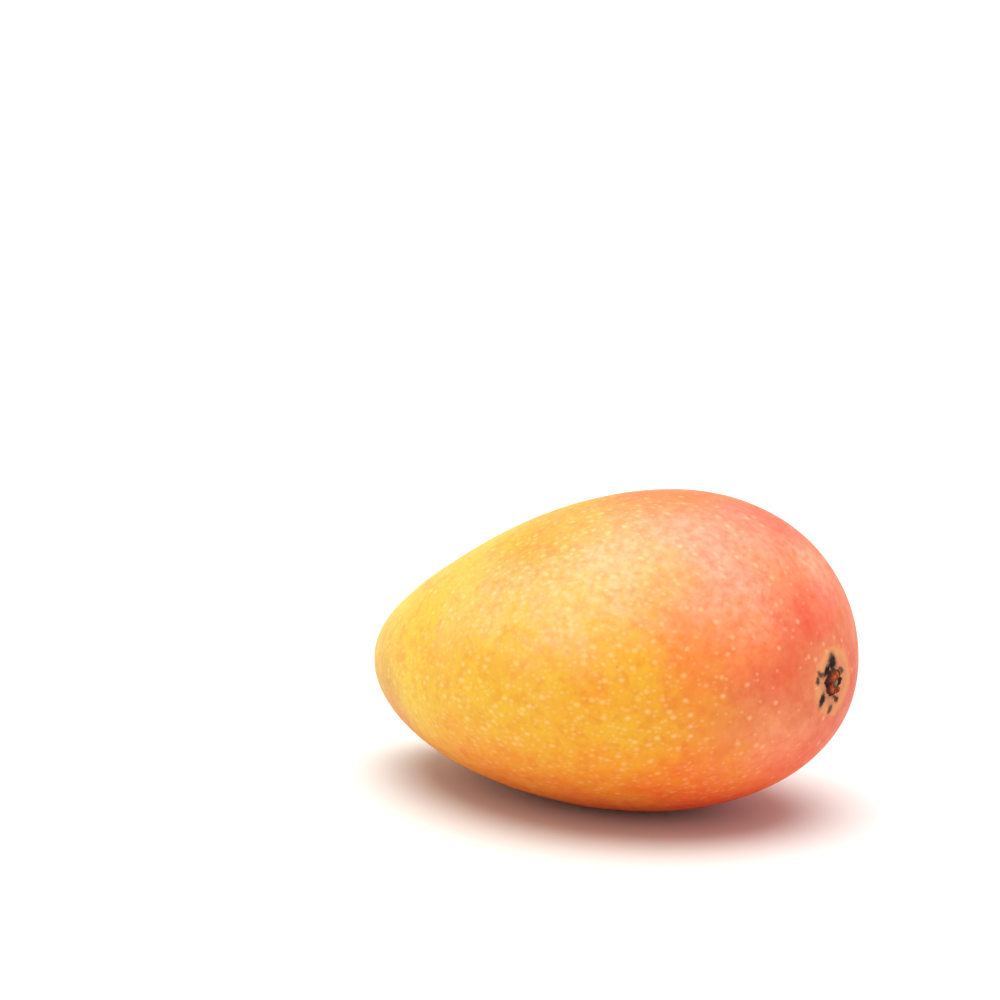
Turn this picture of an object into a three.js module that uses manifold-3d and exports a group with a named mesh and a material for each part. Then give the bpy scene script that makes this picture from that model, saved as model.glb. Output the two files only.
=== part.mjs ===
// A ripe mango lying on its cheek: one egg-shaped fruit on a bent axis, slightly flattened at the stem end,
// where the woody button of the broken stem stands in a hole.
// Millimetres, +Z up. The fruit lies along X with its stem end at +X and its narrower apex at -X.
import * as THREE from "three";
import { mergeVertices } from "three/addons/utils/BufferGeometryUtils.js";
import Module from "manifold-3d";

const wasm = await Module();
wasm.setup();

// Fruit: driving dimensions
const LENGTH = 120; // apex to stem end
const WIDTH = 83; // edge to edge at the fullest section
const THICKNESS = 69; // cheek to cheek at the fullest section
const WIDTH_TAPER = 0.19; // 0 is an ellipsoid; above it, the stem half is fuller than the apex half
const THICKNESS_TAPER = 0.32; // the cheeks draw in towards the apex more than the edges do
const APEX_DROP = 5.8; // how far the apex hangs below the middle of the fruit
const APEX_SIDE = 5.7; // how far the apex turns to the far side
const STEM_RISE = 2.5; // the stem end stands a little above the middle
const STEM_SIDE = 3.1; // and a little to the far side
const BELLY_SAG = 4.3; // pull of the axis's handle near the apex, which rounds the belly
const BACK_ARCH = 10.3; // pull of its handle near the stem, which rounds the back there
const APEX_BULGE = 0.3; // pull of the same two handles to the near side, so that edge is the fuller one
const STEM_BULGE = 2.6;
const DENT_DEPTH = 0.6; // stem cavity, so shallow that it only flattens the stem end
const DENT_RADIUS = 8;
const FLAT_DEPTH = 0.6; // how much of the lowest bulge is pressed flat by the fruit's weight
const SIDES = 72; // facets round the axis
const RINGS = 48; // facets from pole to pole
const WELD = 1e-4; // corners closer than this are one

// Stem button
const BUTTON_RADIUS = 3.5;
const BUTTON_ROOT = 1.6; // sunk into the fruit
const BUTTON_HEIGHT = 1.5; // standing out of the dent
const BUTTON_EDGE = 0.6; // rounding of its rim
const PIT_RADIUS = 1.3; // the dried core of the stem
const PIT_DEPTH = 0.8;
const BUTTON_SIDES = 24;
const EDGE_STEPS = 4; // facets in its rounded rim and in its pit
const GAP = 0.3; // between the button and its hole

const SKIN = new THREE.MeshStandardMaterial({ color: 0xf0973f, roughness: 0.42, metalness: 0 });
const DRY_STEM = new THREE.MeshStandardMaterial({ color: 0x7a4423, roughness: 0.8, metalness: 0 });

// The axis of the fruit. Its handles are evenly spaced along X, so x keeps step with the curve's parameter.
const AXIS = new THREE.CubicBezierCurve3(
  new THREE.Vector3(-LENGTH / 2, APEX_SIDE, -APEX_DROP),
  new THREE.Vector3(-LENGTH / 6, -APEX_BULGE, -BELLY_SAG),
  new THREE.Vector3(LENGTH / 6, -STEM_BULGE, BACK_ARCH),
  new THREE.Vector3(LENGTH / 2, STEM_SIDE, STEM_RISE),
);

// A section's half size goes as sin(a) * (1 + taper * cos(a)), with a counted from the stem end.
// This is the largest value that takes, so that WIDTH and THICKNESS are true sizes.
function fullest(taper) {
  const cos = (Math.sqrt(1 + 8 * taper ** 2) - 1) / (4 * taper);
  return Math.sqrt(1 - cos ** 2) * (1 + taper * cos);
}

// A closed geometry as a solid that can be cut.
function solidOf(geometry) {
  const bare = geometry.clone();
  bare.deleteAttribute("normal");
  bare.deleteAttribute("uv");
  const merged = mergeVertices(bare, WELD);
  return new wasm.Manifold(
    new wasm.Mesh({
      numProp: 3,
      vertProperties: new Float32Array(merged.attributes.position.array),
      triVerts: new Uint32Array(merged.index.array),
    }),
  );
}

// A cut solid as a geometry again.
function geometryOf(solid) {
  const { vertProperties, triVerts } = solid.getMesh();
  const geometry = new THREE.BufferGeometry();
  geometry.setAttribute("position", new THREE.BufferAttribute(vertProperties, 3));
  geometry.setIndex(new THREE.BufferAttribute(triVerts, 1));
  geometry.computeVertexNormals();
  return geometry;
}

// Where a direction from the middle of a unit ball lands on the fruit's skin.
function skinPoint(direction) {
  const y = (WIDTH / 2) * direction.y * (1 + WIDTH_TAPER * direction.x) / fullest(WIDTH_TAPER);
  const z = (THICKNESS / 2) * direction.z * (1 + THICKNESS_TAPER * direction.x) / fullest(THICKNESS_TAPER);
  const dent = direction.x > 0 ? DENT_DEPTH * Math.exp(-(y * y + z * z) / DENT_RADIUS ** 2) : 0;
  return AXIS.getPoint((1 + direction.x) / 2).add(new THREE.Vector3(-dent, y, z));
}

// The whole fruit, before the flat spot and the stem's hole are cut.
function fruitForm() {
  const form = new THREE.SphereGeometry(1, SIDES, RINGS).rotateZ(-Math.PI / 2);
  const points = form.attributes.position;
  const direction = new THREE.Vector3();
  for (let i = 0; i < points.count; i++) {
    const { x, y, z } = skinPoint(direction.fromBufferAttribute(points, i));
    points.setXYZ(i, x, y, z);
  }
  form.computeBoundingBox();
  return form;
}

// The hole that the stem button stands in, open towards +X, with its mouth's middle at the origin.
function stemHole() {
  const reach = BUTTON_ROOT + GAP;
  return new THREE.CylinderGeometry(BUTTON_RADIUS + GAP, BUTTON_RADIUS + GAP, 2 * reach, BUTTON_SIDES)
    .rotateZ(-Math.PI / 2);
}

function fruit(stemEnd) {
  const form = fruitForm();
  const floor = form.boundingBox.min.z + FLAT_DEPTH;
  const below = new THREE.BoxGeometry(LENGTH, WIDTH, THICKNESS).translate(0, 0, floor - THICKNESS / 2);
  const hole = stemHole().translate(stemEnd.x, stemEnd.y, stemEnd.z);
  const cut = solidOf(form).subtract(solidOf(below)).subtract(solidOf(hole));
  const mesh = new THREE.Mesh(geometryOf(cut), SKIN);
  mesh.name = "fruit";
  return mesh;
}

// A low round stub with a rounded rim and a pit where the core has dried, turned about its own axis.
function stemButton(stemEnd) {
  const shoulder = BUTTON_HEIGHT - BUTTON_EDGE;
  const outline = new THREE.Path();
  outline.moveTo(0, -BUTTON_ROOT);
  outline.lineTo(BUTTON_RADIUS, -BUTTON_ROOT);
  outline.lineTo(BUTTON_RADIUS, shoulder);
  outline.absarc(BUTTON_RADIUS - BUTTON_EDGE, shoulder, BUTTON_EDGE, 0, Math.PI / 2, false);
  outline.lineTo(PIT_RADIUS, BUTTON_HEIGHT);
  outline.quadraticCurveTo(PIT_RADIUS / 2, BUTTON_HEIGHT - PIT_DEPTH, 0, BUTTON_HEIGHT - PIT_DEPTH);
  const stub = new THREE.LatheGeometry(outline.getPoints(EDGE_STEPS), BUTTON_SIDES);
  const mesh = new THREE.Mesh(stub, DRY_STEM);
  mesh.name = "stem_button";
  mesh.position.copy(stemEnd);
  mesh.rotation.z = -Math.PI / 2;
  return mesh;
}

// The origin is on the surface that the fruit lies on, under the middle of its box.
const stemEnd = skinPoint(new THREE.Vector3(1, 0, 0));
const mango = new THREE.Group();
mango.add(fruit(stemEnd), stemButton(stemEnd));
const box = new THREE.Box3().setFromObject(mango, true);
const middle = box.getCenter(new THREE.Vector3());
mango.position.set(-middle.x, -middle.y, -box.min.z);

export default mango;
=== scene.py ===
# A ripe mango on a pale floor: its blushed and dotted peel, its corky stem scar and its woody stem button.
import math

import bpy
from mathutils import Matrix, Vector, noise


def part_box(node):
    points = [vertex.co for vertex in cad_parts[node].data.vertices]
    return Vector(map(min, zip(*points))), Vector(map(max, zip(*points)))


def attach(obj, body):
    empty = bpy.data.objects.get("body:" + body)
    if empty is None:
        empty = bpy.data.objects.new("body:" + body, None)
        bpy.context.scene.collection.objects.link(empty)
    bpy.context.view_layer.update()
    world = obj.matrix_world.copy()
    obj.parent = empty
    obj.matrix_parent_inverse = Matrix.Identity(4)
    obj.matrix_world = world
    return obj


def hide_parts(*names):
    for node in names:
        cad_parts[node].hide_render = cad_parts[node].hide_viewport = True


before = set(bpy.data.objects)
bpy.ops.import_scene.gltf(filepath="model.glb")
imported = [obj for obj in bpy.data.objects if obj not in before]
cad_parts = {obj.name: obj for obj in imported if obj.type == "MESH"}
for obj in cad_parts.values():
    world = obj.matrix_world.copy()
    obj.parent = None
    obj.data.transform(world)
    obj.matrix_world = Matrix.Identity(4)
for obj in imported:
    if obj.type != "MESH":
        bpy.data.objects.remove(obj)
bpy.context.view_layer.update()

MM = 0.001  # the frame is in metres, and every size below is in millimetres

# The fruit's form, with the same values as its solid
LENGTH = 120
WIDTH = 83
THICKNESS = 69
WIDTH_TAPER = 0.19
THICKNESS_TAPER = 0.32
AXIS_HANDLES = [
    Vector((-LENGTH / 2, 5.7, -5.8)),
    Vector((-LENGTH / 6, -0.3, -4.3)),
    Vector((LENGTH / 6, -2.6, 10.3)),
    Vector((LENGTH / 2, 3.1, 2.5)),
]
DENT_DEPTH = 0.6  # how far the end round the stem is flattened
DENT_RADIUS = 8
FLAT_DEPTH = 0.6  # how far the lowest bulge is pressed flat where the fruit lies
FLAT_SOFTNESS = 0.25  # how gently the skin bends round the edge of the flat spot

# The fruit's mesh
SIDES = 340
RINGS = 280
RING_CROWDING = 1.35  # above 1, the rings crowd towards the stem, where the detail is finest
ROUND_UP_TO = 6  # rings up to this radius round the stem are circles
OVAL_FROM = 18  # and from this radius on they follow the fruit's own section
SKIN_TRIES = 6  # tries at finding the skin over a spot of the stem end, each closer than the last
SOCKET_RADIUS = 3.55  # the hole that the stem button stands in
SOCKET_DEPTH = 1.9

# Relief of the skin: how high, and from one bump to the next
GROWTH_RELIEF = 0.28
GROWTH_SPACING = 32
DIMPLE_RELIEF = 0.07
DIMPLE_SPACING = 9
CORK_RELIEF = 0.16
CORK_SPACING = 1.5
CORK_RADIUS = 7.6  # the corky ring round the stem
CORK_SMOOTH_FROM = 0.7 * CORK_RADIUS  # its relief fades out between these radii
CORK_SMOOTH_TO = 1.15 * CORK_RADIUS
STYLE_SCAR_RADIUS = 1.4  # the dot at the apex that the flower's style left
STYLE_SCAR_DEPTH = 0.35


def smooth(low, high, value):
    share = min(max((value - low) / (high - low), 0), 1)
    return share * share * (3 - 2 * share)


def linear(colour):
    """An sRGB hex colour as linear red, green, blue and alpha."""
    parts = [int(colour[i:i + 2], 16) / 255 for i in (1, 3, 5)]
    return [p / 12.92 if p <= 0.04045 else ((p + 0.055) / 1.055) ** 2.4 for p in parts] + [1]


def add(tree, kind, inputs=(), stops=(), **settings):
    """Adds a shader node. Sockets among its inputs are linked, other values are set. A ramp takes stops."""
    made = tree.nodes.new("ShaderNode" + kind)
    for name, value in settings.items():
        setattr(made, name, value)
    for name, value in dict(inputs).items():
        if isinstance(value, bpy.types.NodeSocket):
            tree.links.new(value, made.inputs[name])
        else:
            made.inputs[name].default_value = value
    if stops:
        ramp = made.color_ramp.elements
        while len(ramp) < len(stops):
            ramp.new(1)
        for stop, (position, shade) in zip(ramp, stops):
            stop.position = position
            stop.color = linear(shade)
    return made


def start_material(name):
    """A new material, its node tree and its shader."""
    material = bpy.data.materials.new(name)
    material.use_nodes = True
    tree = material.node_tree
    return material, tree, tree.nodes["Principled BSDF"]


def mesh_piece(name, points, faces, material):
    """A smooth-shaded mesh object from points in millimetres."""
    mesh = bpy.data.meshes.new(name)
    mesh.from_pydata([p * MM for p in points], [], faces)
    mesh.shade_smooth()
    mesh.materials.append(material)
    piece = bpy.data.objects.new(name, mesh)
    bpy.context.scene.collection.objects.link(piece)
    return piece


def tube_faces(rings, sides, first=0):
    """Faces between rings of points that run one after the other, each ring closed on itself."""
    faces = []
    for ring in range(rings - 1):
        for side in range(sides):
            a = first + ring * sides + side
            b = first + ring * sides + (side + 1) % sides
            faces.append((a, a + sides, b + sides, b))
    return faces


# The fruit

def fullest(taper):
    """The largest value of sin(a) * (1 + taper * cos(a)), by which the girth of the fruit goes."""
    cos = (math.sqrt(1 + 8 * taper ** 2) - 1) / (4 * taper)
    return math.sqrt(1 - cos ** 2) * (1 + taper * cos)


WIDTH_SCALE = WIDTH / 2 / fullest(WIDTH_TAPER)
THICKNESS_SCALE = THICKNESS / 2 / fullest(THICKNESS_TAPER)


def axis_point(cos):
    """The point of the bent axis at angle a: the stem end at cos 1, the apex at cos -1."""
    t = (1 + cos) / 2
    weights = ((1 - t) ** 3, 3 * t * (1 - t) ** 2, 3 * t ** 2 * (1 - t), t ** 3)
    return sum((handle * weight for handle, weight in zip(AXIS_HANDLES, weights)), Vector())


def section(cos):
    """Half the width and half the thickness of the fruit, for each unit of sin(a)."""
    return WIDTH_SCALE * (1 + WIDTH_TAPER * cos), THICKNESS_SCALE * (1 + THICKNESS_TAPER * cos)


def skin_cos(across, above):
    """cos(a) of the skin on the stem half, this far across and above the axis."""
    cos = 1
    for _ in range(SKIN_TRIES):
        wide, thick = section(cos)
        cos = math.sqrt(max(0, 1 - (across / wide) ** 2 - (above / thick) ** 2))
    return cos


def skin_point(cos, across, above):
    """A point of the bare form, this far across and above the axis."""
    dent = DENT_DEPTH * math.exp(-(across ** 2 + above ** 2) / DENT_RADIUS ** 2) if cos > 0 else 0
    return axis_point(cos) + Vector((-dent, across, above))


def ring_point(a, turn):
    """A point of the bare form, on the ring at angle a from the stem end."""
    cos, sin = math.cos(a), math.sin(a)
    wide, thick = (half * sin for half in section(cos))
    evenly = math.sqrt(wide * thick)
    oval = smooth(ROUND_UP_TO, OVAL_FROM, evenly) if cos > 0 else 1
    across = (evenly + (wide - evenly) * oval) * math.cos(turn)
    above = (evenly + (thick - evenly) * oval) * math.sin(turn)
    if oval < 1:
        cos = skin_cos(across, above)
    return skin_point(cos, across, above)


def fruit_rings():
    """The bare form's rings from the socket's rim to the apex, in the form's own frame."""
    wide, thick = section(1)
    rim = math.asin(SOCKET_RADIUS / math.sqrt(wide * thick))
    rings = []
    for ring in range(RINGS):
        a = rim + (math.pi - rim) * (ring / RINGS) ** RING_CROWDING
        rings.append([ring_point(a, math.tau * side / SIDES) for side in range(SIDES)])
    return rings


def fruit_shift(rings):
    """From the form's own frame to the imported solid's."""
    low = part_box("fruit")[0] / MM
    apex = AXIS_HANDLES[0]
    return Vector((
        low.x - apex.x,
        low.y - min(p.y for ring in rings for p in ring),
        low.z - FLAT_DEPTH - min(p.z for ring in rings for p in ring),
    ))


def relief(point, stem, apex):
    """How far the skin stands out of the bare form there."""
    height = GROWTH_RELIEF * noise.noise(point / GROWTH_SPACING)
    height += DIMPLE_RELIEF * noise.noise(point / DIMPLE_SPACING)
    away = math.hypot(point.y - stem.y, point.z - stem.z)
    if point.x > 0 and away < CORK_SMOOTH_TO:
        corky = 1 - smooth(CORK_SMOOTH_FROM, CORK_SMOOTH_TO, away)
        height += corky * CORK_RELIEF * noise.noise(point / CORK_SPACING)
    scar = (point - apex).length / STYLE_SCAR_RADIUS
    return height - STYLE_SCAR_DEPTH * math.exp(-scar ** 2)


def pressed(height):
    """A height over the floor, once the fruit's weight has pressed its lowest bulge flat."""
    return (height + math.hypot(height, FLAT_SOFTNESS)) / 2


def make_fruit():
    """The fruit, and the points of its stem and apex."""
    rings = fruit_rings()
    shift = fruit_shift(rings)
    stem = axis_point(1) + shift
    apex = axis_point(-1) + shift
    points = [p + shift for ring in rings for p in ring]
    faces = tube_faces(RINGS, SIDES)
    bare = bpy.data.meshes.new("bare")
    bare.from_pydata(points + [apex], [], faces)
    normals = [v.normal.copy() for v in bare.vertices]
    bpy.data.meshes.remove(bare)
    skin = []
    for point, normal in zip(points, normals):
        lifted = point + normal * relief(point, stem, apex)
        lifted.z = pressed(lifted.z)
        skin.append(lifted)
    # The apex closes one end, and the socket's wall and floor the other.
    tip = len(skin)
    skin.append(apex + Vector((STYLE_SCAR_DEPTH, 0, 0)))
    last = (RINGS - 1) * SIDES
    faces += [(last + s, tip, last + (s + 1) % SIDES) for s in range(SIDES)]
    floor = len(skin)
    skin += [p - Vector((SOCKET_DEPTH, 0, 0)) for p in skin[:SIDES]]
    faces += [(floor + s, s, (s + 1) % SIDES, floor + (s + 1) % SIDES) for s in range(SIDES)]
    skin.append(stem - Vector((SOCKET_DEPTH + DENT_DEPTH, 0, 0)))
    faces += [(floor + s, floor + (s + 1) % SIDES, len(skin) - 1) for s in range(SIDES)]
    stem.x -= DENT_DEPTH
    return mesh_piece("mango_fruit", skin, faces, mango_peel(stem, apex)), stem, apex


# The stem button: a corky collar flush with the skin, and the stub of the stalk on it

BUTTON_SIDES = 144
BUTTON_RINGS = 44
BUTTON_WALL_RINGS = 6
COLLAR_SINK = 0.04  # how far the collar lies under the skin round it
STALK_AT = (0.8, -0.35)  # the stalk's middle, across and above the button's
STALK_RADIUS = 2.7
STALK_RAGGED = 0.3  # the share of that radius by which its torn edge wanders
STALK_WAVES = ((2, 0.6), (6, 0.4))  # how close the waves of that edge are, and how strong
STALK_WAVE_CUT = 0.25  # the height at which the noise is cut for those waves
STALK_FOOT = 0.35  # how far the foot of the stalk spreads to either side of its edge
STALK_HEIGHT = 1.1
STALK_DOME = 0.3  # how far its top falls from the middle to the edge
FOOT_PAINTED_SHADE = 0.4  # painted shade: how much deeper than its bark the foot of the stalk is drawn, half-way up
BARK_RELIEF = 0.34
BARK_SPACING = 1.3
BARK_GRAIN_RELIEF = 0.14
BARK_GRAIN_SPACING = 0.45
# Knobs of bark: across and above the button's middle, radius and height
KNOBS = [
    (0.1, 1.3, 1.0, 0.4),
    (-0.9, -1.8, 1.1, 0.4),
    (1.7, -2.2, 0.8, 0.3),
]
PIT_AT = (1.5, -0.55)  # the pith's hole, across and above the button's middle
PIT_RADIUS = 1.45
PIT_FLOOR = 0.6 * PIT_RADIUS  # its floor reaches this far out, and its wall rises from there
PIT_DEPTH = 0.4
PIT_RAGGED = 0.5
PITH_RADIUS = 0.8
CRACK_TURNS = (0.35, 1.9, 3.1, 4.3)  # where cracks run outwards, as turns in radians
CRACK_WANDER = 0.25
CRACK_WIDTH = 0.3
CRACK_DEPTH = 0.45
CRACK_FROM = 1  # a crack starts this far from the stalk's middle
CRACK_FULL = 2.2  # and is at its deepest here


def stalk_share(across, above):
    """1 on the stub of the stalk, 0 on the collar, and between the two on the stalk's foot."""
    away = Vector((across - STALK_AT[0], above - STALK_AT[1], 0))
    facing = away.normalized() + Vector((0, 0, STALK_WAVE_CUT))
    wander = sum(strong * noise.noise(facing * close) for close, strong in STALK_WAVES)
    edge = STALK_RADIUS * (1 + STALK_RAGGED * wander)
    return 1 - smooth(edge - STALK_FOOT, edge + STALK_FOOT, away.length)


def bark_lumps(across, above):
    """How far the bark stands over or under the flat top of the stalk there."""
    spot = Vector((across - STALK_AT[0], above - STALK_AT[1], 0))
    height = BARK_RELIEF * noise.noise(spot / BARK_SPACING)
    height += BARK_GRAIN_RELIEF * noise.noise(spot / BARK_GRAIN_SPACING)
    radius = spot.length
    height -= STALK_DOME * (radius / STALK_RADIUS) ** 2
    turn = math.atan2(spot.y, spot.x) + CRACK_WANDER * noise.noise(spot)
    for crack in CRACK_TURNS:
        aside = radius * math.sin(turn - crack)
        if math.cos(turn - crack) > 0:
            gape = smooth(CRACK_FROM, CRACK_FULL, radius)
            height -= CRACK_DEPTH * gape * math.exp(-(aside / CRACK_WIDTH) ** 2)
    for knob_across, knob_above, knob_radius, knob_height in KNOBS:
        away = math.hypot(across - knob_across, above - knob_above)
        height += knob_height * math.exp(-(away / knob_radius) ** 2)
    pit = math.hypot(across - PIT_AT[0], above - PIT_AT[1]) * (1 + PIT_RAGGED * noise.noise(spot))
    return height - PIT_DEPTH * (1 - smooth(PIT_FLOOR, PIT_RADIUS, pit))


def make_button(stem, apex):
    """The stem button. For its shades, its points keep how high the bark stands, less a painted shade on the
    stalk's foot, and where the stalk is.
    """
    low, high = (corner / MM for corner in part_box("stem_button"))
    reach = (high.y - low.y) / 2
    turns = [math.tau * side / BUTTON_SIDES for side in range(BUTTON_SIDES)]
    spots = [(0, 0)]
    for ring in range(1, BUTTON_RINGS + 1):
        radius = reach * ring / BUTTON_RINGS
        spots += [(radius * math.cos(turn), radius * math.sin(turn)) for turn in turns]
    points = []
    lumps = []
    stalks = []
    for across, above in spots:
        lump = bark_lumps(across, above)
        stalk = stalk_share(across, above)
        point = stem + skin_point(skin_cos(across, above), across, above) - skin_point(1, 0, 0)
        point.x += relief(point, stem, apex) - COLLAR_SINK
        point.x = min(high.x, point.x + stalk * (STALK_HEIGHT + lump))
        points.append(point)
        foot = 4 * stalk * (1 - stalk)  # 1 half-way up the foot, 0 at its ends
        # painted shade: the bark is darkened half-way up the stalk's foot
        lumps.append(lump - foot * FOOT_PAINTED_SHADE)
        stalks.append(stalk)
    rim = points[-BUTTON_SIDES:]
    for ring in range(1, BUTTON_WALL_RINGS + 1):
        share = ring / BUTTON_WALL_RINGS
        points += [Vector((p.x + (low.x - p.x) * share, p.y, p.z)) for p in rim]
        lumps += [0] * BUTTON_SIDES
        stalks += [0] * BUTTON_SIDES
    faces = [(0, 1 + side, 1 + (side + 1) % BUTTON_SIDES) for side in range(BUTTON_SIDES)]
    faces += tube_faces(BUTTON_RINGS + BUTTON_WALL_RINGS, BUTTON_SIDES, first=1)
    faces.append(list(reversed(range(len(points) - BUTTON_SIDES, len(points)))))
    button = mesh_piece("mango_stem_button", points, faces, stem_bark(stem))
    for name, values in (("lumps", lumps), ("stalk", stalks)):
        button.data.attributes.new(name, "FLOAT", "POINT").data.foreach_set("value", values)
    return button


# The floor, the light and the camera

IMAGE_PX = 1000
LENS = 100
SENSOR = 36
EYE_AZIMUTH = 36.28
EYE_ELEVATION = 12.25
EYE_DISTANCE = 608.2
AIM = Vector((4.3, 3.6, 32.2))  # the point of the fruit that the eye looks past
AIM_PX = (620, 649)  # where that point falls in the picture

FLOOR_SIDES = 96
FLOOR_STEPS = 24  # rings of paper from the flat middle to the rim
FLOOR_FLAT = 1500  # the paper lies flat this far out
FLOOR_RADIUS = 8000
FLOOR_RISE = 900  # and sweeps up to this height at its rim, so that no edge of it shows
FLOOR_SINK = 0.02  # how far the paper lies under the fruit, so that the two do not share a face
SIGHT_END = 10 * FLOOR_RADIUS  # the eye sees well past the paper's rim
PAPER_WHITE = "#E4E3E1"
PAPER_ROUGHNESS = 0.95
PAPER_GLOSS = 0.1
OVERHEAD_SPREAD = 66  # degrees of sky that the overhead light fills
OVERHEAD_STRENGTH = 3.8
ROOM_WHITE = "#FFFFFF"
ROOM_STRENGTH = 0.58


def eye_axes(azimuth, elevation):
    """Right, up and back of an eye that looks level-headed from this direction."""
    a, e = math.radians(azimuth), math.radians(elevation)
    back = Vector((math.sin(a) * math.cos(e), -math.cos(a) * math.cos(e), math.sin(e)))
    right = Vector((math.cos(a), math.sin(a), 0))
    return right, back.cross(right), back


def make_camera():
    """The eye, turned aside so that the fruit falls where it does in the picture."""
    px = IMAGE_PX * LENS / SENSOR
    turn = math.degrees(math.atan((AIM_PX[0] - IMAGE_PX / 2) / px))
    tip = math.degrees(math.atan((AIM_PX[1] - IMAGE_PX / 2) / px))
    eye = AIM + EYE_DISTANCE * eye_axes(EYE_AZIMUTH, EYE_ELEVATION)[2]
    facing = Matrix(eye_axes(EYE_AZIMUTH + turn, EYE_ELEVATION - tip)).transposed()
    data = bpy.data.cameras.new("eye")
    data.lens = LENS
    data.sensor_width = SENSOR
    data.clip_end = SIGHT_END * MM
    camera = bpy.data.objects.new("eye", data)
    camera.matrix_world = Matrix.Translation(eye * MM) @ facing.to_4x4()
    bpy.context.scene.collection.objects.link(camera)
    bpy.context.scene.camera = camera


def matt_white_paper():
    """Uncoated white paper: no gloss, so the floor only takes a soft shadow."""
    material, _, shader = start_material("matt_white_paper")
    shader.inputs["Base Color"].default_value = linear(PAPER_WHITE)
    shader.inputs["Roughness"].default_value = PAPER_ROUGHNESS
    shader.inputs["Specular IOR Level"].default_value = PAPER_GLOSS
    return material


def make_floor():
    points = []
    for step in range(FLOOR_STEPS + 1):
        out = step / FLOOR_STEPS
        radius = FLOOR_FLAT + (FLOOR_RADIUS - FLOOR_FLAT) * out
        height = FLOOR_RISE * out ** 2 - FLOOR_SINK
        for side in range(FLOOR_SIDES):
            turn = math.tau * side / FLOOR_SIDES
            points.append(Vector((radius * math.cos(turn), radius * math.sin(turn), height)))
    faces = [range(FLOOR_SIDES)] + tube_faces(FLOOR_STEPS + 1, FLOOR_SIDES)
    floor = mesh_piece("paper_floor", points, faces, matt_white_paper())


def make_light():
    """One wide light overhead, and the pale room round it."""
    world = bpy.data.worlds.new("pale_room")
    world.use_nodes = True
    room = world.node_tree.nodes["Background"]
    room.inputs["Color"].default_value = linear(ROOM_WHITE)
    room.inputs["Strength"].default_value = ROOM_STRENGTH
    bpy.context.scene.world = world
    data = bpy.data.lights.new("overhead_diffuser", "SUN")
    data.angle = math.radians(OVERHEAD_SPREAD)
    data.energy = OVERHEAD_STRENGTH
    overhead = bpy.data.objects.new("overhead_diffuser", data)
    bpy.context.scene.collection.objects.link(overhead)
    bpy.context.scene.view_settings.view_transform = "Standard"


# The peel

PEEL_ROUGHNESS = 0.5
PEEL_UNEVEN = 0.06  # how far the mottle takes that up and down
PEEL_IOR = 1.37
FLESH_GLOW = 0.2  # the share of the light that goes through the flesh
FLESH_REACH = 3  # how far it goes
FLESH_TINT = (1, 0.35, 0.1)  # how much of that way red, green and blue go
GRAIN = 0.6  # the cells of the cuticle, drawn coarser than life so that they show
GRAIN_RELIEF = 0.04
GRAIN_STRENGTH = 0.5
# Shade of the peel by its distance from the stem
PEEL_SHADES = [
    (0, "#DA764C"),
    (14, "#DB7449"),
    (24, "#DF7F3D"),
    (36, "#E69427"),
    (50, "#E8AB1B"),
    (66, "#E9B91A"),
    (85, "#EABC1C"),
    (105, "#ECCB24"),
    (125, "#ECD02D"),
]
SHADES_END = PEEL_SHADES[-1][0]
SUN_SIDE = Vector((0, 0.3, 0.55))  # the head start of the blush for each millimetre to the back and up
SUN_FROM = Vector((0, -28, 40))  # a point where it has none
CLOUD = 20  # from one cloud of the blush to the next
CLOUD_SWING = (0.3, 0.7)  # what the noise of the clouds swings between
CLOUD_REACH = 9  # how far a cloud pushes the blush along the fruit
GOLD_CLOUD = 11  # small clouds of a deeper gold
GOLD_SWING = (0.5, 0.68)  # their noise, where the gold starts and where it is full
GOLD_ALONG = (0.28, 0.5)  # the shares of the blush's way over which it comes in
GOLD_MOST = 0.45
DEEP_GOLD = "#E6A108"
FLUSH_RAGGED = 0.8  # how much of a cloud's push the edge of a flush takes
# Flushes, deeper or paler than the peel round them, and a patch of painted shade: where, how far they reach,
# their colour and strength
FLUSHES_AND_PAINTED_SHADE = [
    (Vector((54.6, -2, 50.4)), 10, "#DE3C20", 0.8),
    (Vector((55.8, 6.9, 48.1)), 6, "#E8503C", 0.6),
    (Vector((56, -11, 40)), 12, "#DE5626", 0.6),
    (Vector((58, 12, 29)), 11, "#D4442A", 0.6),
    (Vector((55, -10.5, 22.5)), 10, "#F2A468", 0.4),
    (Vector((45.5, -27.9, 40)), 11, "#EA840D", 0.8),
    (Vector((30.4, -37.8, 34.5)), 15, "#EC9F05", 0.8),
    (Vector((51.1, -18.6, 45.3)), 8, "#EC791F", 0.7),
    (Vector((22, -5, 69)), 24, "#EA6A3A", 0.7),
    # painted shade: this deeper gold on the apex's lower side stands for the shadow of a neighbouring fruit
    (Vector((-36, -24, 16)), 28, "#CE8A00", 0.85),
    (Vector((6, -25, 60)), 20, "#EC972F", 0.6),
    (Vector((14, -18, 65)), 26, "#EC8438", 0.5),
    (Vector((44, -4, 62)), 20, "#E86444", 0.4),
    (Vector((42, 9, 64)), 13, "#E0402E", 0.5),
    (Vector((12, 38, 42)), 40, "#E46126", 0.7),
    (Vector((40, 30, 40)), 30, "#E04521", 0.6),
    (Vector((-28, 14, 46)), 30, "#ECA412", 0.6),
]
BELLY_TOP = 28  # the blush under the belly, partly painted shade of the underside, starts at this height
BELLY_FULL = 2  # and is full at this one
BELLY_MOST = 0.9
BELLY_RAGGED = 0.3  # how much of a cloud's push its edge takes
BELLY_RED = "#F6280E"
BELLY_ORANGE = "#F0880E"
BELLY_ALONG = (0.45, 0.8)  # the shares of the blush's way over which it goes from red to orange
BELLY_PORES = 0.5  # how pale its pores are against the rest, dimmed there as painted shade
MOTTLE = 3.2  # fine unevenness of the peel's colour
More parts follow.
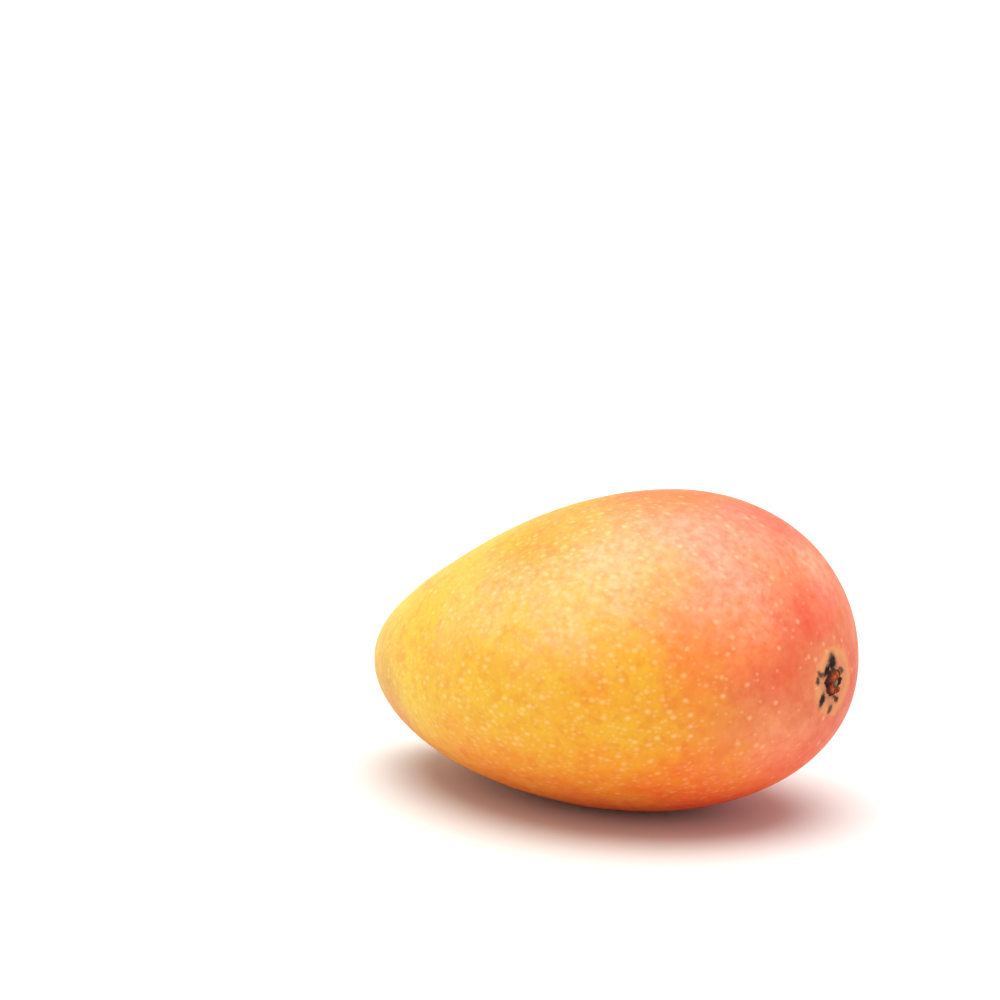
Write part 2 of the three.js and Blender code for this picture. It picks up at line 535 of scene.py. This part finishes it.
MOTTLE_SWING = (0.38, 0.62)
MOTTLE_DEEP = "#F8DABC"  # what it takes from the colour where it is deepest
BLOOM_AND_SHEEN = "#FFE3C8"  # the fruit's own pale wax, also laid on as a painted sheen
WAX_CLOUD = 1.7  # from one smear of the wax to the next
WAX_SWING = (0.35, 0.65)
WAX_SMEAR = (0.6, 1.4)  # how thin and how thick it is smeared
WAX_ALL_OVER = 0.01
WAX_RAGGED = 0.5  # how much of a cloud's push the edge of a place of wax and painted sheen takes
# Where most of the wax is left, with a painted sheen where the light overhead and the floor would be
# reflected: the middle of the place, how far it reaches, and how strong it is
WAX_AND_SHEEN_LEFT = [
    (Vector((15, -37, 49)), 22, 0.15),
    (Vector((-6, -34, 47)), 20, 0.12),
    (Vector((27, -31, 55)), 20, 0.11),
    (Vector((18, -20, 64)), 22, 0.1),
    (Vector((30, -37, 45)), 15, 0.12),
    (Vector((40, -20, 58)), 30, 0.12),
    (Vector((47, -2, 60)), 26, 0.1),
    (Vector((50, -17, 50)), 13, 0.05),
    (Vector((52, -12, 18)), 18, 0.06),
    (Vector((-25, 0, 52)), 36, 0.1),
    (Vector((-35, 25, 35)), 34, 0.08),
    (Vector((10, 25, 60)), 36, 0.08),
    (Vector((-50, 18, 34)), 22, 0.1),
    (Vector((51.5, 10, 56)), 12, 0.13),
]
# Lenticels: how far apart, their radius, how many of them open near the stem and elsewhere, and how pale
LENTICELS = [
    (1.3, 0.6, 0.12, 0.95, 0.22),
    (2.0, 0.86, 0.12, 0.75, 0.34),
]
LENTICELS_ALONG = (0.1, 0.45)  # the shares of the blush's way over which more of them open
LENTICEL_CREAM = "#FFDBA2"  # on the blush
LENTICEL_STRAW = "#FFF0A2"  # and on the yellow
LENTICEL_DRAW = (0.72, 1, 1)  # they are drawn out along the fruit, as the peel was when it grew
LENTICEL_HEIGHT = 0.6  # against the grain's
LENTICEL_DULL = 0.12  # how much rougher than the peel they are
RIM_REACH = 1.9  # the deeper rim of a pore, in pore radii
RIM_DEPTH = 0.5
SPECK_SPACING = 13  # a few dark specks where a pore has been rubbed
SPECK_RADIUS = 0.35
SPECK_DARK = 0.7
CORK_AT = Vector((0, 1.5, -0.3))  # the corky ring's middle, from the stem
CORK_EDGE = (1.1 * CORK_RADIUS, 0.75 * CORK_RADIUS)  # where the ring starts and where it is full
CORK_AGE = (0.95 * CORK_RADIUS, 0.55 * CORK_RADIUS)  # where it starts to brown and where it is brownest
CORK_MOST = 0.8
CORK_FRAY = 3  # how far its crumbs fray its edge
CORK_TEAR = 1.8  # and the edges of the marks on it
CORK_DULL = 0.4  # how much rougher than the peel it is
CORK_RIM = "#E2A264"  # pale where the cork has just formed
CORK_OLD = "#CE8660"  # and browner towards the stem
STYLE_SCAR_BROWN = "#865A2A"
STYLE_SCAR_EDGE = (1.3 * STYLE_SCAR_RADIUS, 0.5 * STYLE_SCAR_RADIUS)
STYLE_SCAR_MOST = 0.75
SAP_BLACK = "#1C0804"
SAP_EDGE = (1.25, 0.65)  # where a mark starts and where it is full, in its half lengths and widths
SAP_BROWN = "#6A3A1C"  # the skin that it burnt
SAP_BURN = (1.7, 0.9)  # where that starts and where it is full
SAP_STAIN = 0.45  # how deeply it is stained
SAP_REACH = 30  # the marks are only on the stem end
# Sap that ran from the broken stem and dried: across and above the stem, half length, half width, turn,
# and how thickly it dried
SAP_MARKS = [
    (0.9, 3.8, 1.7, 1.4, 95, 1),
    (-1.2, 2.3, 1.5, 0.8, 40, 1),
    (-3.5, 1.9, 1.3, 0.6, -20, 0.75),
    (-4.5, 0.8, 0.75, 0.7, 80, 0.8),
    (4.3, 1.5, 0.9, 0.5, -30, 0.65),
    (-2.9, -3.65, 1.6, 1.0, 65, 1),
    (2.4, -4.2, 1.5, 0.6, -25, 0.85),
    (0.6, -6.1, 1.0, 0.8, 70, 0.75),
]
NOISE_MIDDLE = (0.5, 0.5, 0.5)
MIX_A, MIX_B, MIX_OUT = 6, 7, 2  # the colour sockets of a Mix node


def millimetres(tree):
    """Where on the piece the eye looks, in millimetres."""
    place = add(tree, "TexCoord").outputs["Object"]
    return add(tree, "VectorMath", {0: place, "Scale": 1 / MM}, operation="SCALE").outputs["Vector"]


def sap_on(tree, colour, torn, stem):
    """Black dried sap over the colour of the piece that it ran on, each mark in the stain that it burnt."""
    sap = 0
    stain = 0
    for across, above, half_length, half_width, turn, thickness in SAP_MARKS:
        mark = add(tree, "Mapping", {"Vector": torn, "Location": stem + Vector((0, across, above)),
                                     "Rotation": (math.radians(turn), 0, 0),
                                     "Scale": (SAP_REACH, half_length, half_width)}, vector_type="TEXTURE")
        off = add(tree, "VectorMath", {0: mark.outputs["Vector"]}, operation="LENGTH").outputs["Value"]
        dried = add(tree, "MapRange", {"Value": off, "From Min": SAP_EDGE[0], "From Max": SAP_EDGE[1],
                                       "To Max": thickness}, interpolation_type="SMOOTHSTEP")
        burnt = add(tree, "MapRange", {"Value": off, "From Min": SAP_BURN[0], "From Max": SAP_BURN[1],
                                       "To Max": SAP_STAIN}, interpolation_type="SMOOTHSTEP")
        sap = add(tree, "Math", {0: dried.outputs["Result"], 1: sap},
                  operation="MAXIMUM").outputs["Value"]
        stain = add(tree, "Math", {0: burnt.outputs["Result"], 1: stain},
                    operation="MAXIMUM").outputs["Value"]
    colour = add(tree, "Mix", {0: stain, MIX_A: colour, MIX_B: linear(SAP_BROWN)},
                 data_type="RGBA").outputs[MIX_OUT]
    return add(tree, "Mix", {0: sap, MIX_A: colour, MIX_B: linear(SAP_BLACK)},
               data_type="RGBA").outputs[MIX_OUT]


def blush_way(tree, mm, stem):
    """How far the peel is on its way from red to yellow, as a share, and the clouds that push this about.
    It goes by the distance from the stem, and the blush has a head start on the sun's side."""
    from_stem = add(tree, "VectorMath", {0: mm, 1: stem}, operation="DISTANCE").outputs["Value"]
    from_middle = add(tree, "VectorMath", {0: mm, 1: SUN_FROM}, operation="SUBTRACT").outputs["Vector"]
    sun = add(tree, "VectorMath", {0: from_middle, 1: SUN_SIDE}, operation="DOT_PRODUCT").outputs["Value"]
    cloud = add(tree, "TexNoise", {"Vector": mm, "Scale": 1 / CLOUD, "Detail": 3}).outputs["Fac"]
    push = add(tree, "MapRange", {"Value": cloud, "From Min": CLOUD_SWING[0], "From Max": CLOUD_SWING[1],
                                  "To Min": -CLOUD_REACH, "To Max": CLOUD_REACH}).outputs["Result"]
    shaded = add(tree, "Math", {0: from_stem, 1: sun}, operation="SUBTRACT").outputs["Value"]
    blush = add(tree, "Math", {0: shaded, 1: push}, operation="ADD").outputs["Value"]
    along = add(tree, "MapRange", {"Value": blush, "From Max": SHADES_END}).outputs["Result"]
    return along, push


def patch(tree, mm, push, ragged, where, reach, strength):
    """The share of a patch round one place, fading outwards to an edge that the clouds make ragged."""
    away = add(tree, "VectorMath", {0: mm, 1: where}, operation="DISTANCE").outputs["Value"]
    pushed = add(tree, "Math", {0: push, 1: ragged, 2: away}, operation="MULTIPLY_ADD").outputs["Value"]
    return add(tree, "MapRange", {"Value": pushed, "From Min": reach, "From Max": 0, "To Max": strength},
               interpolation_type="SMOOTHSTEP").outputs["Result"]


def blushed(tree, mm, along, push):
    """The peel's colour from the stem to the apex, with its clouds of gold, its flushes and a patch of
    painted shade on the apex's lower side.
    """
    shades = [(distance / SHADES_END, shade) for distance, shade in PEEL_SHADES]
    colour = add(tree, "ValToRGB", {"Fac": along}, stops=shades).outputs["Color"]
    cloud = add(tree, "TexNoise", {"Vector": mm, "Scale": 1 / GOLD_CLOUD, "Detail": 3}).outputs["Fac"]
    most = add(tree, "MapRange", {"Value": along, "From Min": GOLD_ALONG[0], "From Max": GOLD_ALONG[1],
                                  "To Max": GOLD_MOST}).outputs["Result"]
    gold = add(tree, "MapRange", {"Value": cloud, "From Min": GOLD_SWING[0], "From Max": GOLD_SWING[1],
                                  "To Max": most}, interpolation_type="SMOOTHSTEP").outputs["Result"]
    colour = add(tree, "Mix", {0: gold, MIX_A: colour, MIX_B: linear(DEEP_GOLD)},
                 data_type="RGBA").outputs[MIX_OUT]
    for where, reach, tint, strength in FLUSHES_AND_PAINTED_SHADE:
        share = patch(tree, mm, push, FLUSH_RAGGED, where, reach, strength)
        colour = add(tree, "Mix", {0: share, MIX_A: colour, MIX_B: linear(tint)},
                     data_type="RGBA").outputs[MIX_OUT]
    return colour


def belly_on(tree, mm, along, push, colour):
    """The colour with the blush that comes round again under the belly, partly painted shade of the
    underside, and the share of that blush.
    """
    low = add(tree, "SeparateXYZ", {"Vector": mm}).outputs["Z"]
    pushed = add(tree, "Math", {0: push, 1: BELLY_RAGGED, 2: low}, operation="MULTIPLY_ADD").outputs["Value"]
    under = add(tree, "MapRange", {"Value": pushed, "From Min": BELLY_TOP, "From Max": BELLY_FULL,
                                   "To Max": BELLY_MOST}, interpolation_type="SMOOTHSTEP").outputs["Result"]
    paler = add(tree, "MapRange", {"Value": along, "From Min": BELLY_ALONG[0],
                                   "From Max": BELLY_ALONG[1]}).outputs["Result"]
    belly = add(tree, "Mix", {0: paler, MIX_A: linear(BELLY_RED), MIX_B: linear(BELLY_ORANGE)},
                data_type="RGBA").outputs[MIX_OUT]
    colour = add(tree, "Mix", {0: under, MIX_A: colour, MIX_B: belly}, data_type="RGBA").outputs[MIX_OUT]
    return colour, under


def lenticels(tree, mm, along, under):
    """Lenticels, each a speck of pale cork in a pore with a deeper rim: how pale and how deep they are."""
    pores = 0
    rims = 0
    drawn = add(tree, "VectorMath", {0: mm, 1: LENTICEL_DRAW}, operation="MULTIPLY").outputs["Vector"]
    for spacing, radius, near_stem, elsewhere, paleness in LENTICELS:
        edge = radius / spacing
        cells = add(tree, "TexVoronoi", {"Vector": drawn, "Scale": 1 / spacing})
        off = cells.outputs["Distance"]
        chance = add(tree, "SeparateColor", {"Color": cells.outputs["Color"]}).outputs["Red"]
        share = add(tree, "MapRange", {"Value": along, "From Min": LENTICELS_ALONG[0],
                                       "From Max": LENTICELS_ALONG[1],
                                       "To Min": near_stem, "To Max": elsewhere}).outputs["Result"]
        there = add(tree, "Math", {0: chance, 1: share}, operation="LESS_THAN").outputs["Value"]
        dot = add(tree, "MapRange", {"Value": off, "From Min": edge, "From Max": 0, "To Max": paleness},
                  interpolation_type="SMOOTHSTEP").outputs["Result"]
        rim = add(tree, "MapRange", {"Value": off, "From Min": RIM_REACH * edge, "From Max": edge,
                                     "To Max": RIM_DEPTH}).outputs["Result"]
        open_dot = add(tree, "Math", {0: dot, 1: there}, operation="MULTIPLY").outputs["Value"]
        open_rim = add(tree, "Math", {0: rim, 1: there}, operation="MULTIPLY").outputs["Value"]
        pores = add(tree, "Math", {0: open_dot, 1: pores}, operation="MAXIMUM").outputs["Value"]
        rims = add(tree, "Math", {0: open_rim, 1: rims}, operation="MAXIMUM").outputs["Value"]
    # painted shade: the pores under the belly are dimmed
    bright = add(tree, "MapRange", {"Value": under, "From Max": BELLY_MOST, "To Min": 1,
                                    "To Max": BELLY_PORES}).outputs["Result"]
    pores = add(tree, "Math", {0: pores, 1: bright}, operation="MULTIPLY").outputs["Value"]
    return pores, rims


def wax_and_sheen_on(tree, mm, push, colour):
    """The fruit's own wax over the colour, smeared, and most of it in the places where it is left, which
    also carry a painted sheen.
    """
    veil = WAX_ALL_OVER
    for where, reach, strength in WAX_AND_SHEEN_LEFT:
        share = patch(tree, mm, push, WAX_RAGGED, where, reach, strength)
        veil = add(tree, "Math", {0: share, 1: veil}, operation="ADD").outputs["Value"]
    cloud = add(tree, "TexNoise", {"Vector": mm, "Scale": 1 / WAX_CLOUD, "Detail": 3}).outputs["Fac"]
    smear = add(tree, "MapRange", {"Value": cloud, "From Min": WAX_SWING[0], "From Max": WAX_SWING[1],
                                   "To Min": WAX_SMEAR[0], "To Max": WAX_SMEAR[1]}).outputs["Result"]
    veil = add(tree, "Math", {0: veil, 1: smear}, operation="MULTIPLY").outputs["Value"]
    return add(tree, "Mix", {0: veil, MIX_A: colour, MIX_B: linear(BLOOM_AND_SHEEN)},
               data_type="RGBA").outputs[MIX_OUT]


def cork_on(tree, colour, frayed, stem):
    """The colour with the corky ring round the stem, and the share of cork."""
    out = add(tree, "VectorMath", {0: frayed, 1: stem + CORK_AT}, operation="DISTANCE").outputs["Value"]
    cork = add(tree, "MapRange", {"Value": out, "From Min": CORK_EDGE[0], "From Max": CORK_EDGE[1],
                                  "To Max": CORK_MOST}, interpolation_type="SMOOTHSTEP").outputs["Result"]
    old = add(tree, "MapRange", {"Value": out, "From Min": CORK_AGE[0], "From Max": CORK_AGE[1]},
              interpolation_type="SMOOTHSTEP").outputs["Result"]
    tan = add(tree, "Mix", {0: old, MIX_A: linear(CORK_RIM), MIX_B: linear(CORK_OLD)},
              data_type="RGBA").outputs[MIX_OUT]
    colour = add(tree, "Mix", {0: cork, MIX_A: colour, MIX_B: tan}, data_type="RGBA").outputs[MIX_OUT]
    return colour, cork


def mango_peel(stem, apex):
    """Mango peel, grown: a thin waxy cuticle over yellow flesh. It gives the eye a broad soft sheen, partly
    painted into its colour, a blush that thins out in clouds from the stem end, and pale corky pores."""
    material, tree, shader = start_material("mango_peel_waxy")
    mm = millimetres(tree)
    along, push = blush_way(tree, mm, stem)
    colour = blushed(tree, mm, along, push)
    colour, under = belly_on(tree, mm, along, push, colour)
    pores, rims = lenticels(tree, mm, along, under)

    # The mottle and the rims deepen the colour, the wax and a painted sheen veil it, and the pores and
    # specks lie over that
    mottle = add(tree, "TexNoise", {"Vector": mm, "Scale": 1 / MOTTLE, "Detail": 5,
                                    "Roughness": 0.7}).outputs["Fac"]
    deep = add(tree, "MapRange", {"Value": mottle, "From Min": MOTTLE_SWING[0],
                                  "From Max": MOTTLE_SWING[1]}).outputs["Result"]
    deeper = add(tree, "Math", {0: deep, 1: rims}, operation="MAXIMUM").outputs["Value"]
    colour = add(tree, "Mix", {0: deeper, MIX_A: colour, MIX_B: linear(MOTTLE_DEEP)},
                 data_type="RGBA", blend_type="MULTIPLY").outputs[MIX_OUT]
    colour = wax_and_sheen_on(tree, mm, push, colour)
    pale = add(tree, "Mix", {0: along, MIX_A: linear(LENTICEL_CREAM), MIX_B: linear(LENTICEL_STRAW)},
               data_type="RGBA").outputs[MIX_OUT]
    colour = add(tree, "Mix", {0: pores, MIX_A: colour, MIX_B: pale}, data_type="RGBA").outputs[MIX_OUT]
    cells = add(tree, "TexVoronoi", {"Vector": mm, "Scale": 1 / SPECK_SPACING}).outputs["Distance"]
    speck = add(tree, "MapRange", {"Value": cells, "From Min": SPECK_RADIUS / SPECK_SPACING, "From Max": 0,
                                   "To Max": SPECK_DARK}).outputs["Result"]
    colour = add(tree, "Mix", {0: speck, MIX_A: colour, MIX_B: linear(SAP_BLACK)},
                 data_type="RGBA").outputs[MIX_OUT]

    # The corky ring round the stem and the sap that dried on it, and the dot that the style left at the apex
    crumb = add(tree, "TexNoise", {"Vector": mm, "Scale": 1 / CORK_SPACING, "Detail": 3}).outputs["Color"]
    jog = add(tree, "VectorMath", {0: crumb, 1: NOISE_MIDDLE}, operation="SUBTRACT").outputs["Vector"]
    torn = add(tree, "VectorMath", {0: jog, 1: [CORK_TEAR] * 3, 2: mm},
               operation="MULTIPLY_ADD").outputs["Vector"]
    frayed = add(tree, "VectorMath", {0: jog, 1: [CORK_FRAY] * 3, 2: mm},
                 operation="MULTIPLY_ADD").outputs["Vector"]
    colour, cork = cork_on(tree, colour, frayed, stem)
    colour = sap_on(tree, colour, torn, stem)
    off = add(tree, "VectorMath", {0: torn, 1: apex}, operation="DISTANCE").outputs["Value"]
    scar = add(tree, "MapRange", {"Value": off, "From Min": STYLE_SCAR_EDGE[0],
                                  "From Max": STYLE_SCAR_EDGE[1], "To Max": STYLE_SCAR_MOST},
               interpolation_type="SMOOTHSTEP").outputs["Result"]
    colour = add(tree, "Mix", {0: scar, MIX_A: colour, MIX_B: linear(STYLE_SCAR_BROWN)},
                 data_type="RGBA").outputs[MIX_OUT]
    tree.links.new(colour, shader.inputs["Base Color"])

    # Waxy gloss, dulled by the pores and gone on the cork
    waxy = add(tree, "MapRange", {"Value": mottle, "To Min": PEEL_ROUGHNESS - PEEL_UNEVEN,
                                  "To Max": PEEL_ROUGHNESS + PEEL_UNEVEN}).outputs["Result"]
    dulled = add(tree, "Math", {0: pores, 1: LENTICEL_DULL, 2: waxy},
                 operation="MULTIPLY_ADD").outputs["Value"]
    rough = add(tree, "Math", {0: cork, 1: CORK_DULL, 2: dulled}, operation="MULTIPLY_ADD",
                use_clamp=True).outputs["Value"]
    tree.links.new(rough, shader.inputs["Roughness"])
    grain = add(tree, "TexNoise", {"Vector": mm, "Scale": 1 / GRAIN, "Detail": 2}).outputs["Fac"]
    height = add(tree, "Math", {0: pores, 1: LENTICEL_HEIGHT, 2: grain}, operation="MULTIPLY_ADD")
    bump = add(tree, "Bump", {"Height": height.outputs["Value"], "Strength": GRAIN_STRENGTH,
                              "Distance": GRAIN_RELIEF * MM}).outputs["Normal"]
    tree.links.new(bump, shader.inputs["Normal"])
    shader.inputs["IOR"].default_value = PEEL_IOR
    shader.inputs["Subsurface Weight"].default_value = FLESH_GLOW
    shader.inputs["Subsurface Radius"].default_value = FLESH_TINT
    shader.inputs["Subsurface Scale"].default_value = FLESH_REACH * MM
    return material


# The bark of the stem button

BARK_ROUGHNESS = 0.8
BARK_IOR = 1.5
BARK_GLOSS = 0.25
BARK_LOW = -0.6  # heights of the bark, as far as its shade goes: its deepest crevices
BARK_HIGH = 0.45  # and its highest lumps
# Bark from the crevices between its lumps to their tops
BARK_SHADES = [
    (0, "#340C06"),
    (0.35, "#5A1A0A"),
    (0.6, "#84300E"),
    (0.85, "#B0561C"),
    (1, "#C26E30"),
]
FIBRE_SHADE = 0.3  # how far the fibres take the shade up and down, as a height
FIBRE_TEAR = 1.2  # how far they tear the edges of the marks and the pith
FIBRE_RELIEF = 0.15
FIBRE_STRENGTH = 0.6
PITH_EDGE = (1.4 * PITH_RADIUS, 0.4 * PITH_RADIUS)
PITH_GREY = "#8E7252"
BARK_EDGE = 0.35  # the share of stalk from which on it is all bark


def stem_bark(stem):
    """Dried bark of a fruit stalk, snapped off: it looks dull and rough, dark in its cracks and
    rubbed orange on its lumps, with grey pith in its pit and a collar of cork round its foot."""
    material, tree, shader = start_material("dry_stem_bark")
    mm = millimetres(tree)
    # the bark's height, less the painted shade on the stalk's foot
    lumps = add(tree, "Attribute", attribute_name="lumps").outputs["Fac"]
    fibre = add(tree, "TexNoise", {"Vector": mm, "Scale": 1 / BARK_GRAIN_SPACING, "Detail": 4})
    stained = add(tree, "MapRange", {"Value": fibre.outputs["Fac"], "To Min": -FIBRE_SHADE,
                                     "To Max": FIBRE_SHADE}).outputs["Result"]
    height = add(tree, "Math", {0: lumps, 1: stained}, operation="ADD").outputs["Value"]
    rubbed = add(tree, "MapRange", {"Value": height, "From Min": BARK_LOW, "From Max": BARK_HIGH})
    colour = add(tree, "ValToRGB", {"Fac": rubbed.outputs["Result"]}, stops=BARK_SHADES).outputs["Color"]

    # The pith in its pit
    jog = add(tree, "VectorMath", {0: fibre.outputs["Color"], 1: NOISE_MIDDLE}, operation="SUBTRACT")
    torn = add(tree, "VectorMath", {0: jog.outputs["Vector"], 1: [FIBRE_TEAR] * 3, 2: mm},
               operation="MULTIPLY_ADD").outputs["Vector"]
    pith = add(tree, "Mapping", {"Vector": torn, "Location": stem + Vector((0, *PIT_AT)),
                                 "Scale": (SAP_REACH, 1, 1)}, vector_type="TEXTURE").outputs["Vector"]
    off = add(tree, "VectorMath", {0: pith}, operation="LENGTH").outputs["Value"]
    bare = add(tree, "MapRange", {"Value": off, "From Min": PITH_EDGE[0], "From Max": PITH_EDGE[1]},
               interpolation_type="SMOOTHSTEP").outputs["Result"]
    colour = add(tree, "Mix", {0: bare, MIX_A: colour, MIX_B: linear(PITH_GREY)},
                 data_type="RGBA").outputs[MIX_OUT]

    # The collar round the stalk's foot, and the sap that dried on both
    stalk = add(tree, "Attribute", attribute_name="stalk").outputs["Fac"]
    edge = add(tree, "Math", {0: stained, 1: stalk}, operation="ADD").outputs["Value"]
    barky = add(tree, "MapRange", {"Value": edge, "From Min": 0, "From Max": BARK_EDGE},
                interpolation_type="SMOOTHSTEP").outputs["Result"]
    colour = add(tree, "Mix", {0: barky, MIX_A: linear(CORK_OLD), MIX_B: colour},
                 data_type="RGBA").outputs[MIX_OUT]
    colour = sap_on(tree, colour, torn, stem)
    tree.links.new(colour, shader.inputs["Base Color"])

    bump = add(tree, "Bump", {"Height": fibre.outputs["Fac"], "Strength": FIBRE_STRENGTH,
                              "Distance": FIBRE_RELIEF * MM}).outputs["Normal"]
    tree.links.new(bump, shader.inputs["Normal"])
    shader.inputs["Roughness"].default_value = BARK_ROUGHNESS
    shader.inputs["IOR"].default_value = BARK_IOR
    shader.inputs["Specular IOR Level"].default_value = BARK_GLOSS
    return material


make_camera()
make_floor()
make_light()
fruit, stem, apex = make_fruit()
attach(fruit, "root")
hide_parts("fruit")
button = make_button(stem, apex)
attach(button, "root")
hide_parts("stem_button")
